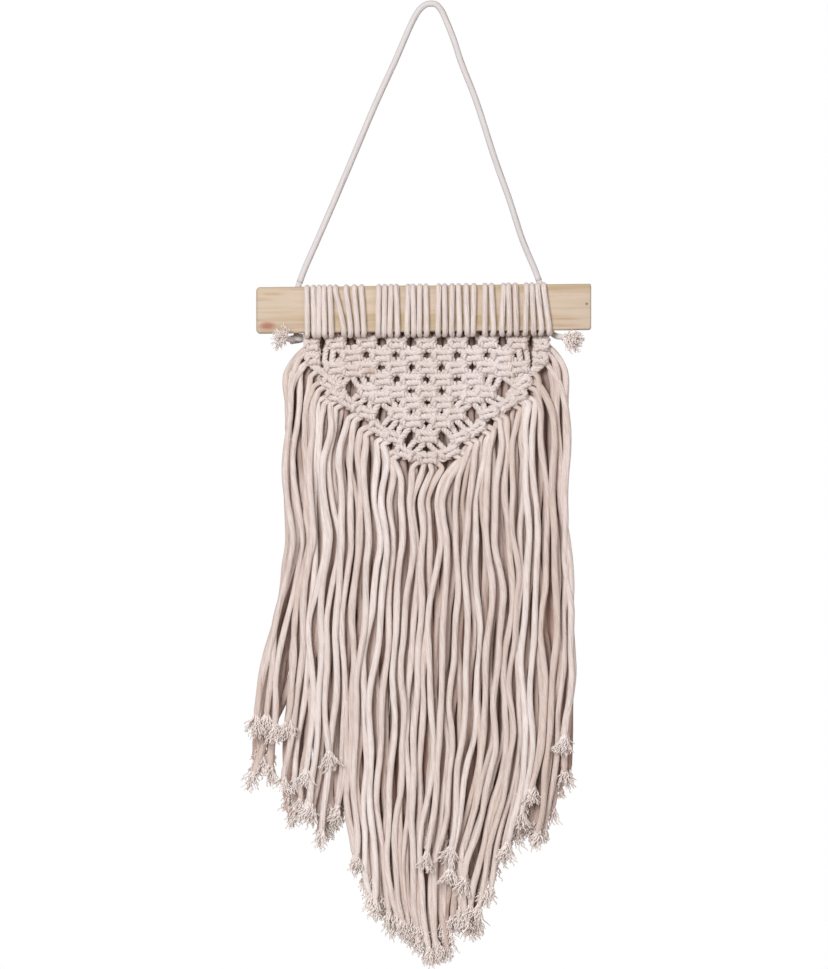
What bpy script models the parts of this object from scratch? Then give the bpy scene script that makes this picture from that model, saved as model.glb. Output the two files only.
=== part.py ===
"""A macrame wall hanging: cotton cords knotted on a flat pine batten that hangs by one cord.

Frame: metres, +Z up, +X right, and the front faces -Y. The origin is the underside of the
hanging cord at its top, where a hook holds it up. Sizes and tables are in millimetres.
"""

import math

import bmesh
import bpy
import numpy as np
from mathutils import Vector

MM = 0.001
CLEARANCE = 0.3

# Batten
BATTEN_LENGTH = 222.7
BATTEN_DEPTH = 10.0
BATTEN_HEIGHT = 30.6
BATTEN_X = -5.3
BATTEN_Y = -3.0
BATTEN_Z = -201.5
BATTEN_SLOPE = 0.0108  # its left end hangs a little lower
BATTEN_EDGE = 1.2

# Cord
HANGER_DIAMETER = 4.2
STRAND_WIDTH = 3.3
STRAND_DEPTH = 3.6
WRAP_WIDTH = 3.2
WRAP_DEPTH = 2.6
PAIR_WIDTH = 5.6
PAIR_DEPTH = 4.2

# Knotted panel
PANEL_X = -3.3
PANEL_Y = 1.5
LANES = 32
LANE_PITCH = 5.05
LANES_PER_KNOT = 4
KNOT_HALF_WIDTH = 8.4
KNOT_HALF_HEIGHT = 5.3
KNOT_HALF_DEPTH = 4.4
BORDER_HALF_WIDTH = 6.2
BORDER_HALF_DEPTH = 4.2
BORDER_RIDGE_PITCH = 8.0
BORDER_VALLEY = 0.76  # a valley's depth as a share of a ridge's

# Fringe
FRONT_STRANDS = 34
FRONT_Y = 0.4
BACK_STRANDS = 30
BACK_Y = 8.2
BACK_STRIP_Z = -226.0
STRIP_HALF = 1.6
STRIP_GAP = 1.0
STRAND_STEP = 45.0
STAGGER = 1.0  # every second strand hangs a little further back
TURN_HEIGHT = 70.0  # the length over which an end turns aside
FRAY = 1.3  # how much wider a strand is at its frayed end

# The cords where they cross the batten's front: first x, last x, number of cords.
WRAP_GROUPS = (
    (-82.8, -45.3, 9),
    (-35.4, -22.8, 4),
    (-16.0, -3.6, 4),
    (4.3, 28.0, 6),
    (35.3, 40.9, 2),
    (47.3, 56.0, 3),
    (62.7, 77.7, 4),
)

# How a hitch crosses under the batten from leg to leg: share of the way across, and how far back.
NARROW_FOOT = ((0.12, 1.9), (0.5, 3.5), (0.88, 1.9))
WIDE_FOOT = ((0.07, 1.7), (0.26, 3.3), (0.74, 3.3), (0.93, 1.7))

# Knot rows: first lane, number of knots, z, and how far the two end knots sit above the row.
KNOT_ROWS = (
    (2, 7, -224.2, 0.0),
    (4, 6, -232.5, 0.0),
    (2, 7, -240.5, 0.0),
    (4, 6, -248.5, 4.3),
    (6, 5, -256.5, 0.0),
    (8, 4, -264.2, 2.7),
    (10, 3, -271.2, 0.0),
    (12, 2, -278.5, 2.3),
    (14, 1, -286.2, 0.0),
)

# A knot from top to bottom, as shares of its half sizes: height, width, depth.
KNOT_PROFILE = (
    (1.0, 0.60, 0.55),
    (0.5, 1.00, 1.00),
    (0.0, 0.90, 0.70),
    (-0.5, 1.00, 1.00),
    (-1.0, 0.60, 0.55),
)

# The pairs of cords that run free beside the holes, on the left half: lane, top z, bottom z.
# A bottom of None runs into the border.
FREE_PAIRS = (
    (2.4, -227.0, -238.0),
    (2.5, -242.0, None),
    (4.2, -246.0, None),
    (6.8, -258.0, None),
    (8.2, -264.0, None),
    (10.8, -273.0, None),
    (12.2, -278.0, None),
    (14.8, -288.0, None),
)

# The border's centreline, its left half: distance from the middle, z.
BORDER = (
    (77.7, -221.5),
    (77.7, -231.0),
    (77.0, -240.5),
    (71.5, -248.0),
    (64.0, -253.5),
    (57.0, -260.0),
    (49.5, -266.8),
    (41.0, -273.3),
    (31.5, -280.7),
    (22.0, -288.0),
    (12.0, -294.8),
    (0.0, -298.5),
)
BORDER_X = -3.0

# Where the front fringe's gaps run. Each column is the gap to the left of that strand.
FRONT_GAPS = (0, 2, 6, 9, 12, 15, 20, 25, 27, 30, 32, 34)
FRONT_FLOW = (  # z, then x at each gap
    (-282, -99, -87, -66, -50, -31, -17, 8, 39, 51, 65, 79, 92),
    (-302, -98, -89, -70, -51, -28, -16, 10, 40, 51, 65, 80, 93),
    (-329, -97, -88, -67, -48, -32, -18, 5, 36, 50, 65, 81, 92),
    (-356, -96, -85, -64, -47, -30, -16, 8, 36, 50, 64, 83, 93),
    (-382, -101, -88, -69, -50, -33, -16, 4, 38, 53, 64, 83, 94),
    (-409, -108, -94, -73, -52, -36, -19, 2, 38, 52, 63, 81, 95),
    (-449, -114, -96, -72, -54, -40, -22, 0, 37, 49, 63, 82, 97),
    (-489, -116, -98, -71, -54, -40, -23, 3, 35, 51, 64, 80, 94),
    (-529, -110, -97, -72, -55, -42, -24, 0, 27, 40, 56, 72, 86),
    (-569, -94, -83, -66, -53, -40, -26, -5, 17, 31, 46, 62, 76),
    (-609, -88, -78, -60, -48, -36, -24, -4, 15, 25, 37, 46, 56),
    (-640, -86, -76, -56, -44, -32, -20, -1, 18, 27, 39, 47, 57),
)

# The front strands' ends, left to right: z, and how far the end turns aside.
FRONT_ENDS = (
    (-477, -5), (-483, -6), (-478, -2), (-484, -3), (-512, -3), (-525, -4), (-502, 2),
    (-556, -8), (-554, -3), (-575, -2), (-557, 0), (-571, 0), (-597, 0), (-610, 1),
    (-603, 1), (-605, 2), (-618, 2), (-625, 2), (-629, 2), (-573, 2), (-622, 3),
    (-563, 3), (-614, 4), (-585, 3), (-594, 4), (-623, 8), (-601, 8), (-574, 7),
    (-522, 1), (-535, 4), (-527, 4), (-554, 5), (-489, 0), (-517, 6),
)

# The back fringe's outline: z, left x, right x.
BACK_FLOW = (
    (-226, -82, 80),
    (-249, -90, 87),
    (-269, -95, 90),
    (-289, -96, 90),
    (-329, -95, 90),
    (-356, -94, 91),
    (-382, -98, 92),
    (-409, -104, 93),
    (-449, -110, 95),
    (-489, -113, 93),
    (-529, -106, 87),
    (-569, -88, 78),
    (-609, -70, 60),
    (-640, -64, 60),
)

# The back strands' ends, left to right: z, and how far the end turns aside.
BACK_ENDS = (
    (-497, -8), (-500, -10), (-519, -24), (-520, -9), (-539, -14), (-537, -6), (-544, -3),
    (-557, -2), (-557, 2), (-578, 0), (-591, 1), (-604, 2), (-616, 2), (-612, 1),
    (-621, 1), (-626, 0), (-634, 0), (-640, 1), (-624, 0), (-616, 1), (-626, 2),
    (-608, 3), (-596, 2), (-581, 2), (-561, 4), (-563, 3), (-558, 4), (-555, 5),
    (-544, 4), (-522, 6),
)

# The hanging cord's centreline from its left exit over the hook to its right exit.
HANGER_ROUTE = (  # x, y, z
    (-88.3, 4.4, -184.0),
    (-84.5, 4.2, -174.0),
    (-76.3, 3.8, -155.5),
    (-64.7, 3.2, -128.9),
    (-53.3, 2.6, -102.2),
    (-36.3, 1.8, -62.2),
    (-24.0, 1.1, -35.5),
    (-18.3, 0.8, -22.2),
    (-12.3, 0.5, -8.9),
    (-8.0, 0.3, -1.9),
    (-3.5, 0.0, 1.6),
    (0.0, 0.0, 2.1),
    (3.0, 0.0, 1.5),
    (6.3, 0.4, -1.9),
    (9.7, 0.8, -8.9),
    (15.0, 1.3, -22.2),
    (19.3, 1.8, -35.5),
    (29.7, 2.8, -62.2),
    (42.7, 4.3, -102.2),
    (52.3, 5.3, -128.9),
    (61.0, 6.3, -155.5),
    (68.8, 7.0, -174.0),
    (72.0, 7.3, -182.4),
)
HANGER_STEP = 9.6

LEFT_TIE_ROUTE = (  # behind the batten, then out to the left below it
    (-88.5, 4.4, -184.5),
    (-89.5, 4.2, -188.5),
    (-90.0, 4.1, -198.0),
    (-90.0, 4.1, -213.0),
    (-90.2, 3.8, -220.0),
    (-93.5, 1.6, -223.0),
    (-99.0, -1.0, -223.8),
    (-105.0, -2.6, -223.4),
    (-111.5, -3.4, -222.0),
)
LEFT_KNOT_AT = (-90.2, 3.4, -221.8)
RIGHT_TIE_ROUTE = (  # behind the hitches, then out to the right below the batten
    (72.15, 7.3, -182.8),
    (73.7, 7.1, -186.9),
    (76.4, 7.0, -196.0),
    (80.2, 7.0, -212.0),
    (83.0, 6.6, -219.0),
    (87.4, 4.8, -221.6),
    (93.0, 2.0, -224.0),
    (99.0, -0.6, -226.2),
    (104.5, -2.4, -227.6),
)
TIE_DIAMETER = 3.8
TIE_FRAY = 1.7

COTTON = (0.79, 0.70, 0.66)
PINE = (0.72, 0.56, 0.43)


def clear_scene():
    for old in list(bpy.data.objects):
        bpy.data.objects.remove(old, do_unlink=True)


def material(name, color, roughness):
    made = bpy.data.materials.new(name)
    made.use_nodes = True
    shader = made.node_tree.nodes["Principled BSDF"]
    shader.inputs["Base Color"].default_value = (*color, 1.0)
    shader.inputs["Roughness"].default_value = roughness
    return made


def mesh_object(name, rings):
    """An object skinned over a row of rings with the same number of corners, capped at its ends."""
    corners = len(rings[0])
    grid = bmesh.new()
    rows = [[grid.verts.new(corner * MM) for corner in ring] for ring in rings]
    for lower, upper in zip(rows, rows[1:]):
        for k in range(corners):
            turn = (k + 1) % corners
            grid.faces.new((lower[k], lower[turn], upper[turn], upper[k]))
    grid.faces.new(rows[0][::-1])
    grid.faces.new(rows[-1])
    bmesh.ops.recalc_face_normals(grid, faces=grid.faces)
    mesh = bpy.data.meshes.new(name)
    grid.to_mesh(mesh)
    grid.free()
    made = bpy.data.objects.new(name, mesh)
    bpy.context.scene.collection.objects.link(made)
    return made


def smooth_path(points, step):
    """Points about step apart on a smooth curve through the given ones."""
    given = [Vector(point) for point in points]
    given = [2 * given[0] - given[1], *given, 2 * given[-1] - given[-2]]
    fine = []
    for before, start, end, after in zip(given, given[1:], given[2:], given[3:]):
        for part in range(12):
            t = part / 12
            fine.append(
                0.5
                * (
                    2 * start
                    + (end - before) * t
                    + (2 * before - 5 * start + 4 * end - after) * t**2
                    + (3 * start - before - 3 * end + after) * t**3
                )
            )
    fine.append(given[-2])
    along = np.concatenate([[0], np.cumsum([(b - a).length for a, b in zip(fine, fine[1:])])])
    places = np.linspace(0, along[-1], max(2, round(along[-1] / step) + 1))
    columns = [np.interp(places, along, [point[axis] for point in fine]) for axis in range(3)]
    return [Vector(point) for point in zip(*columns)]


def tangents(path):
    return [
        (path[min(k + 1, len(path) - 1)] - path[max(k - 1, 0)]).normalized()
        for k in range(len(path))
    ]


def strand(name, points, across, width, depth, end_share=1.0):
    """A four-sided strand with its edges to the front, back and sides."""
    path = [Vector(point) for point in points]
    rings = []
    for k, (place, tangent) in enumerate(zip(path, tangents(path))):
        side = (across - tangent * across.dot(tangent)).normalized()
        front = tangent.cross(side)
        share = end_share if k == len(path) - 1 else 1.0
        wide = side * width / 2 * share
        deep = front * depth / 2 * share
        rings.append([place + wide, place + deep, place - wide, place - deep])
    return mesh_object(name, rings)


def folded_strand(name, points, width, depth):
    """A four-sided strand whose section is carried along from ring to ring, for a path that turns."""
    path = [Vector(point) for point in points]
    side = Vector((1, 0, 0))
    rings = []
    before = None
    for place, tangent in zip(path, tangents(path)):
        if before is not None:
            side.rotate(before.rotation_difference(tangent))
        before = tangent
        side = (side - tangent * side.dot(tangent)).normalized()
        front = tangent.cross(side)
        wide, deep = side * width / 2, front * depth / 2
        rings.append([place + wide, place + deep, place - wide, place - deep])
    return mesh_object(name, rings)


def hexagon(center, side, front, half_width, half_depth):
    """A flat-fronted ring with a corner at each side."""
    return [
        center + side * half_width * wide + front * half_depth * deep
        for wide, deep in ((1, 0), (0.6, 1), (-0.6, 1), (-1, 0), (-0.6, -1), (0.6, -1))
    ]


def joined(name, pieces, finish):
    """The pieces made one solid. The first one carries the union."""
    base, *others = pieces
    base.name = name
    base.data.name = name
    helpers = bpy.data.collections.new(name + "_pieces")
    bpy.context.scene.collection.children.link(helpers)
    for other in others:
        bpy.context.scene.collection.objects.unlink(other)
        helpers.objects.link(other)
        other.hide_render = True
        other.display_type = "WIRE"
    union = base.modifiers.new("union", "BOOLEAN")
    union.operation = "UNION"
    union.operand_type = "COLLECTION"
    union.collection = helpers
    union.solver = "EXACT"
    base.data.materials.append(finish)
    return base


def batten_z(x, share):
    """The height of the batten at x: share 1 is its top, -1 its bottom."""
    return BATTEN_Z + share * BATTEN_HEIGHT / 2 + (x - BATTEN_X) * BATTEN_SLOPE


def lane_x(lane):
    return PANEL_X + (lane - (LANES - 1) / 2) * LANE_PITCH


def make_batten(finish):
    bm = bmesh.new()
    bmesh.ops.create_cube(bm, size=1.0)
    size = Vector((BATTEN_LENGTH, BATTEN_DEPTH, BATTEN_HEIGHT)) * MM
    bmesh.ops.scale(bm, vec=size, verts=bm.verts)
    mesh = bpy.data.meshes.new("batten")
    bm.to_mesh(mesh)
    bm.free()
    batten = bpy.data.objects.new("batten", mesh)
    bpy.context.scene.collection.objects.link(batten)
    batten.location = Vector((BATTEN_X, BATTEN_Y, BATTEN_Z)) * MM
    batten.rotation_euler = (0.0, -math.atan(BATTEN_SLOPE), 0.0)
    edge = batten.modifiers.new("worn_edges", "BEVEL")
    edge.width = BATTEN_EDGE * MM
    edge.segments = 2
    mesh.materials.append(finish)


def make_hanger_cord(finish):
    curve = bpy.data.curves.new("hanger_cord", "CURVE")
    curve.dimensions = "3D"
    curve.bevel_depth = HANGER_DIAMETER / 2 * MM
    curve.bevel_resolution = 2
    curve.use_fill_caps = True
    route = smooth_path(HANGER_ROUTE, HANGER_STEP)
    line = curve.splines.new("POLY")
    line.points.add(len(route) - 1)
    for point, place in zip(line.points, route):
        point.co = (*place * MM, 1.0)
    cord = bpy.data.objects.new("hanger_cord", curve)
    bpy.context.scene.collection.objects.link(cord)
    curve.materials.append(finish)


def round_tube(name, route, diameter, end_share):
    """A six-sided tube that widens at its frayed end."""
    path = smooth_path(route, 4.5)
    rings = []
    for k, (place, tangent) in enumerate(zip(path, tangents(path))):
        front = (Vector((0, 1, 0)) - tangent * tangent.y).normalized()
        side = front.cross(tangent)
        share = 1 + (end_share - 1) * max(0.0, (k - len(path) + 4) / 3)
        half = diameter / 2 * share
        rings.append(
            [
                place + half * (math.cos(turn) * side + math.sin(turn) * front)
                for turn in (math.tau * corner / 6 for corner in range(6))
            ]
        )
    return mesh_object(name, rings)


def make_left_tie(finish):
    tail = round_tube("left_tail", LEFT_TIE_ROUTE, TIE_DIAMETER, TIE_FRAY)
    center = Vector(LEFT_KNOT_AT)
    side, front = Vector((1, 0, 0)), Vector((0, 1, 0))
    rings = [
        hexagon(center + Vector((0, 0, level)), side, front, half, half)
        for level, half in ((3.6, 2.2), (1.8, 3.6), (-1.8, 3.6), (-3.6, 2.2))
    ]
    joined("hanger_tie_left", [tail, mesh_object("left_knot", rings)], finish)


def make_right_tie(finish):
    tail = round_tube("hanger_tie_right", RIGHT_TIE_ROUTE, TIE_DIAMETER, TIE_FRAY)
    tail.data.materials.append(finish)


def wrap_places():
    """The x of each lane's cord on the batten's front."""
    return [
        x for first, last, count in WRAP_GROUPS for x in np.linspace(first, last, count).tolist()
    ]


def leg_over_batten(lane, x):
    """Half a hitch: out of the panel, up the batten's back, over its top and down its front."""
    front = BATTEN_Y - BATTEN_DEPTH / 2 - CLEARANCE - WRAP_DEPTH / 2
    back = BATTEN_Y + BATTEN_DEPTH / 2 + CLEARANCE + WRAP_DEPTH / 2
    over = batten_z(x, 1) + CLEARANCE + WRAP_DEPTH / 2
    under = batten_z(x, -1) - CLEARANCE - WRAP_DEPTH / 2
    landing = x + 0.75 * (lane_x(lane) - x)
    return [
        (landing, PANEL_Y + 1.0, KNOT_ROWS[0][2] + 1.5),
        (x, back, under + 2.0),
        (x, back, over - 0.4),
        (x, front + 1.2, over),
        (x, front, over - 1.2),
        (x, front, under + 1.0),
    ]


def make_hitches():
    """Each cord is folded in two and hitched over the batten, so that two legs show in front."""
    places = wrap_places()
    hitches = []
    for lane in range(0, LANES, 2):
        left = leg_over_batten(lane, places[lane])
        right = leg_over_batten(lane + 1, places[lane + 1])[::-1]
        far_apart = right[0][0] - left[-1][0] > 6.0
        foot = [
            Vector(left[-1]).lerp(Vector(right[0]), share) + Vector((0, back, -1.0))
            for share, back in (WIDE_FOOT if far_apart else NARROW_FOOT)
        ]
        points = [*left, *foot, *right]
        hitches.append(folded_strand(f"hitch_{lane}", points, WRAP_WIDTH, WRAP_DEPTH))
    return hitches


def make_knot(name, x, z):
    side, front = Vector((1, 0, 0)), Vector((0, 1, 0))
    rings = [
        hexagon(
            Vector((x, PANEL_Y, z + height * KNOT_HALF_HEIGHT)),
            side,
            front,
            width * KNOT_HALF_WIDTH,
            depth * KNOT_HALF_DEPTH,
        )
        for height, width, depth in KNOT_PROFILE
    ]
    return mesh_object(name, rings)


def make_knots():
    knots = []
    for row, (first, count, z, rise) in enumerate(KNOT_ROWS):
        for k in range(count):
            lane = first + k * LANES_PER_KNOT + (LANES_PER_KNOT - 1) / 2
            at_end = k in (0, count - 1)
            # A small shift of each knot, so that no two faces lie in one plane.
            shift = 0.11 * math.sin(2.3 * row + 1.7 * k)
            knots.append(
                make_knot(f"knot_{row}_{k}", lane_x(lane) + shift, z + at_end * rise + shift)
            )
    return knots


def border_path():
    """The border's centreline from the top of its left edge down to the point and up again."""
    left = [(BORDER_X - out, PANEL_Y, z) for out, z in BORDER]
    right = [(BORDER_X + out, PANEL_Y, z) for out, z in BORDER[-2::-1]]
    return smooth_path(left + right, BORDER_RIDGE_PITCH / 2)


def border_z(x):
    out = [distance for distance, _ in BORDER[::-1]]
    return float(np.interp(abs(x - BORDER_X), out, [z for _, z in BORDER[::-1]]))


def outward(tangent):
    """The direction out of the panel, square to the border's centreline."""
    return Vector((tangent.z, 0, -tangent.x))


def make_border():
    path = border_path()
    front = Vector((0, 1, 0))
    rings = [
        hexagon(
            place,
            outward(tangent),
            front,
            BORDER_HALF_WIDTH,
            BORDER_HALF_DEPTH * (1.0 if k % 2 else BORDER_VALLEY),
        )
        for k, (place, tangent) in enumerate(zip(path, tangents(path)))
    ]
    return mesh_object("border", rings)


def make_free_pairs():
    pairs = []
    for k, (lane, top, bottom) in enumerate(FREE_PAIRS):
        for half, number in (("left", lane), ("right", LANES - 1 - lane)):
            x = lane_x(number)
            low = border_z(x) if bottom is None else bottom
            ends = ((x, PANEL_Y + 0.1, top), (x, PANEL_Y + 0.1, low))
            name = f"pair_{half}_{k}"
            pairs.append(strand(name, ends, Vector((1, 0, 0)), PAIR_WIDTH, PAIR_DEPTH))
    return pairs


def make_panel(finish):
    pieces = [make_border(), *make_knots(), *make_free_pairs(), *make_hitches()]
    joined("macrame_panel", pieces, finish)


def strip_path():
    """A line along the border's outer edge, from just below its top on each side."""
    path = border_path()
    reach = BORDER_HALF_WIDTH + STRIP_GAP + STRIP_HALF
    line = [place + outward(tangent) * reach for place, tangent in zip(path, tangents(path))]
    return line[3:-3]


def front_x(gap, z):
    """The x at height z of the place that far across the front fringe, counted in strands."""
    levels = FRONT_FLOW[::-1]
    heights = [level[0] for level in levels]
    columns = [float(np.interp(z, heights, column)) for column in list(zip(*levels))[1:]]
    return float(np.interp(gap, FRONT_GAPS, columns))


def back_x(share, z):
    levels = BACK_FLOW[::-1]
    heights = [level[0] for level in levels]
    left = float(np.interp(z, heights, [level[1] for level in levels]))
    right = float(np.interp(z, heights, [level[2] for level in levels]))
    return left + share * (right - left)


def hanging_points(root, lead, x_at, y, end_z, aside):
    """A strand's points: its root, a short lead-in, and then down into the fringe's flow."""
    start = lead.z - STRAND_STEP / 2
    count = max(3, round((start - end_z) / STRAND_STEP) + 1)
    points = [root, lead]
    for z in np.linspace(start, end_z, count):
        joined_flow = min(1.0, (lead.z - z) / (1.4 * STRAND_STEP))
        turned = max(0.0, 1 - (z - end_z) / TURN_HEIGHT) ** 2
        x = lead.x + (x_at(z) - lead.x) * joined_flow + aside * turned
        points.append(Vector((x, y, z)))
    return points


def make_front_fringe(finish):
    line = strip_path()
    pieces = [strand("front_strip", line[::2], Vector((0, 1, 0)), 2 * STRIP_HALF, 2 * STRIP_HALF)]
    along = np.linspace(0, len(line) - 1, 2 * FRONT_STRANDS + 1)[1::2]
    slopes = tangents(line)
    for k, (end_z, aside) in enumerate(FRONT_ENDS):
        root = line[round(along[k])]
        away = (outward(slopes[round(along[k])]) + Vector((0, 0, -0.9))).normalized()
        y = FRONT_Y + (STAGGER if k % 2 else -STAGGER)
        lead = root + 7.0 * away
        lead.y = (root.y + y) / 2
        points = hanging_points(root, lead, lambda z: front_x(k + 0.5, z), y, end_z, aside)
        pieces.append(
            strand(f"front_{k}", points, Vector((1, 0, 0)), STRAND_WIDTH, STRAND_DEPTH, FRAY)
        )
    joined("fringe_front", pieces, finish)


def make_back_fringe(finish):
    line = [Vector((back_x(share, BACK_STRIP_Z), BACK_Y, BACK_STRIP_Z)) for share in (0, 1)]
    pieces = [strand("back_strip", line, Vector((0, 1, 0)), 2 * STRIP_HALF, 2 * STRIP_HALF)]
    for k, (end_z, aside) in enumerate(BACK_ENDS):
        share = (k + 0.5) / BACK_STRANDS
        root = line[0].lerp(line[1], share)
        lead = root + Vector((0, 0, -6))
        y = BACK_Y + (2 * STAGGER if k % 2 else 0.0)
        points = hanging_points(root, lead, lambda z: back_x(share, z), y, end_z, aside)
        pieces.append(
            strand(f"back_{k}", points, Vector((1, 0, 0)), STRAND_WIDTH, STRAND_DEPTH, FRAY)
        )
    joined("fringe_back", pieces, finish)


def main():
    clear_scene()
    cotton = material("cotton", COTTON, 0.9)
    pine = material("pine", PINE, 0.7)
    make_batten(pine)
    make_hanger_cord(cotton)
    make_left_tie(cotton)
    make_right_tie(cotton)
    make_panel(cotton)
    make_front_fringe(cotton)
    make_back_fringe(cotton)


main()
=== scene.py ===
"""The looks of a macrame wall hanging: every cord follows its own way from the batten to its end.

Sizes and tables are in millimetres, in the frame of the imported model. The origin is the
underside of the hanging cord at its top, +Z is up, and the front faces -Y.
"""

import math
import random
from collections import namedtuple

import bpy
import numpy as np
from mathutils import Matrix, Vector


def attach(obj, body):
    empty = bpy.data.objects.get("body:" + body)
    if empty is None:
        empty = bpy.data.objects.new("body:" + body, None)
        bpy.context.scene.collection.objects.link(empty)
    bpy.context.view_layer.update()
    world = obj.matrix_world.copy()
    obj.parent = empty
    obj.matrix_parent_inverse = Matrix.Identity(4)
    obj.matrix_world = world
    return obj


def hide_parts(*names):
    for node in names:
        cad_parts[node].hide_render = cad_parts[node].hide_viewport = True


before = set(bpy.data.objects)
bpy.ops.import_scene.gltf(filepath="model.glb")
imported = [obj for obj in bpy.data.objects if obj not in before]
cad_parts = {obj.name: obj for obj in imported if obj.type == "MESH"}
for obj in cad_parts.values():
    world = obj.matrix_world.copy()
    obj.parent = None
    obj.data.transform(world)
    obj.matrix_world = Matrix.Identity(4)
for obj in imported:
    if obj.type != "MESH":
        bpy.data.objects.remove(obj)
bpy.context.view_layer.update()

MM = 0.001
BODY = "root"

# Camera: the photograph's frame seen square on.
FRAME_HEIGHT = 646.0
FRAME_CENTER = (-11.7, -318.5)
CAMERA_DISTANCE = 2100.0

# Lights: name, place and side in metres, watts, colour.
LIGHTS = (
    ("key", (-0.75, -1.7, 0.35), 0.9, 31.5, (0.985, 0.99, 0.99)),
    ("fill_right", (1.3, -1.3, -0.1), 0.9, 6.0, (0.98, 0.98, 1.0)),
    ("back_fill", (0.6, 1.7, 0.3), 1.2, 24.0, (0.97, 1.0, 1.0)),
)
LIGHT_TARGET = (0.0, 0.0, -0.36)
AMBIENT = 0.24
AMBIENT_COLOR = (1.0, 0.78, 0.67)
FLOOR_Z = -740.0
FLOOR_RADIUS = 430.0
FLOOR_COLOR = (0.82, 0.81, 0.79)

# Cotton, each time as a light and a dark colour.
CORD_COLORS = ((0.95, 0.89, 0.88), (0.68, 0.56, 0.50))
HITCHED_COLORS = ((0.91, 0.84, 0.815), (0.70, 0.60, 0.545))
PRESSED_COLORS = ((0.88, 0.82, 0.82), (0.69, 0.59, 0.545))
FRAYED_COLORS = ((0.985, 0.92, 0.90), (0.88, 0.79, 0.74))
HANGING_COLORS = ((0.76, 0.745, 0.76), (0.69, 0.67, 0.68))
# Painted shade: the back cords' side that faces forward is painted in these darker colours, for the shade
# that the front cords cast there.
NEAR_PAINTED_SHADE = ((0.80, 0.68, 0.64), (0.55, 0.42, 0.36))
FAR_PAINTED_SHADE = ((0.66, 0.52, 0.47), (0.42, 0.27, 0.225))
# Painted shade: a brown for the shade seen through the panel's holes, painted on the back cords behind the
# panel.
HOLE_PAINTED_SHADE = (0.50, 0.385, 0.345)
HOLE_LEVELS = (-318.0, -306.0)  # the back cords' forward side turns to the painted-shade brown between these heights
TWIST_PITCH = 150.0
BRAID_STRANDS = 4
BRAID_PITCH = 3.4
STAIN_AT = (-40.8, -2.0, -242.8)
STAIN_REACH = (5.5, 1.5)
STAIN_TAN = (0.60, 0.44, 0.33)

# Pine
PINE_PALE = (0.67, 0.56, 0.45)
PINE_YELLOW = (0.565, 0.45, 0.295)
PINE_GRAIN = (0.46, 0.33, 0.235)
WOOD_MARKS = (  # centre, reach, colour, strength
    ((-109.0, -8.0, -213.2), (6.0, 3.0, 3.2), (0.42, 0.13, 0.09), 0.75),
    ((103.0, -8.0, -198.5), (1.2, 1.2, 1.0), (0.20, 0.13, 0.09), 0.8),
    ((-106.0, -8.0, -192.0), (9.0, 4.0, 1.2), (0.55, 0.36, 0.20), 0.6),
    ((88.0, -8.0, -208.5), (12.0, 4.0, 0.9), (0.52, 0.35, 0.22), 0.6),
    ((86.0, -8.0, -213.0), (14.0, 4.0, 0.8), (0.52, 0.35, 0.22), 0.5),
)

# Batten
BATTEN_LENGTH = 222.7
BATTEN_DEPTH = 10.0
BATTEN_HEIGHT = 30.6
BATTEN_X = -5.3
BATTEN_Y = -3.0
BATTEN_Z = -201.5
BATTEN_SLOPE = 0.0108
BATTEN_EDGE = 1.4
BATTEN_EDGE_POINTS = 5
BATTEN_END_STEPS = 6
BATTEN_STEPS = 24
BATTEN_END = 8.0
BATTEN_SWELL = (0.12, 90.0)
LEFT_WEAR = 2.6
RIGHT_WEAR = 1.3

# Cord
HANGER_RADIUS = 2.1
HANGER_SIDES = 12
HANGER_STEP = 4.0
TIE_RADIUS = 2.0
WRAP_RADIUS = 1.82
KNOT_RADIUS = 2.2
FRINGE_RADIUS = 2.22
LEAST_FRINGE_RADIUS = 1.95
CORD_SIDES = 10
BACK_SIDES = 8
YARN_RADIUS = 0.58
TAPER_LENGTH = 5.0
TAPER_WIDTH = 0.45

# A pressed cord's three strands, in millimetres and in shares of the cord's radius.
PLIES = 3
PLY_SIDES = 5
PLY_PITCH = 8.0
PLY_AWAY = 0.52
PLY_SIZE = 0.56
PLY_TONE = 0.12

# Knotted panel
PANEL_X = -3.3
PANEL_Y = 1.5
LANES = 32
LANE_PITCH = 5.05
HITCH_ROWS = 10  # how many points of a lane's way belong to its hitch
KNOT_UNIT = 4.4  # one cord's diameter inside a knot
BORDER_UNIT = 3.9
KNOT_FLATTEN = 0.72  # how much a knot is pressed flat
KNOT_STEP = 1.4
KNOT_OFF = (0.35, 0.3, 3.5)  # how far knots are out of line: in x, in z, and in degrees
KNOT_SQUEEZE = 0.955
TOP_SQUEEZE = 0.81
TUCKED_ROWS = (4, 6)  # the end knots of these rows are narrower and set inward
TUCKED_SQUEEZE = 0.88
TUCKED_SHIFT = 1.1
EDGE_SQUEEZE = 0.56
EDGE_ROOT = (74.0, 6.5, -212.0)  # where an edge chain's working cords start, with x from the panel's middle
EDGE_EXIT = (0.55, -0.83)
LEAN_LANES = 2.2  # the lean is full this far from the middle

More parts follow.
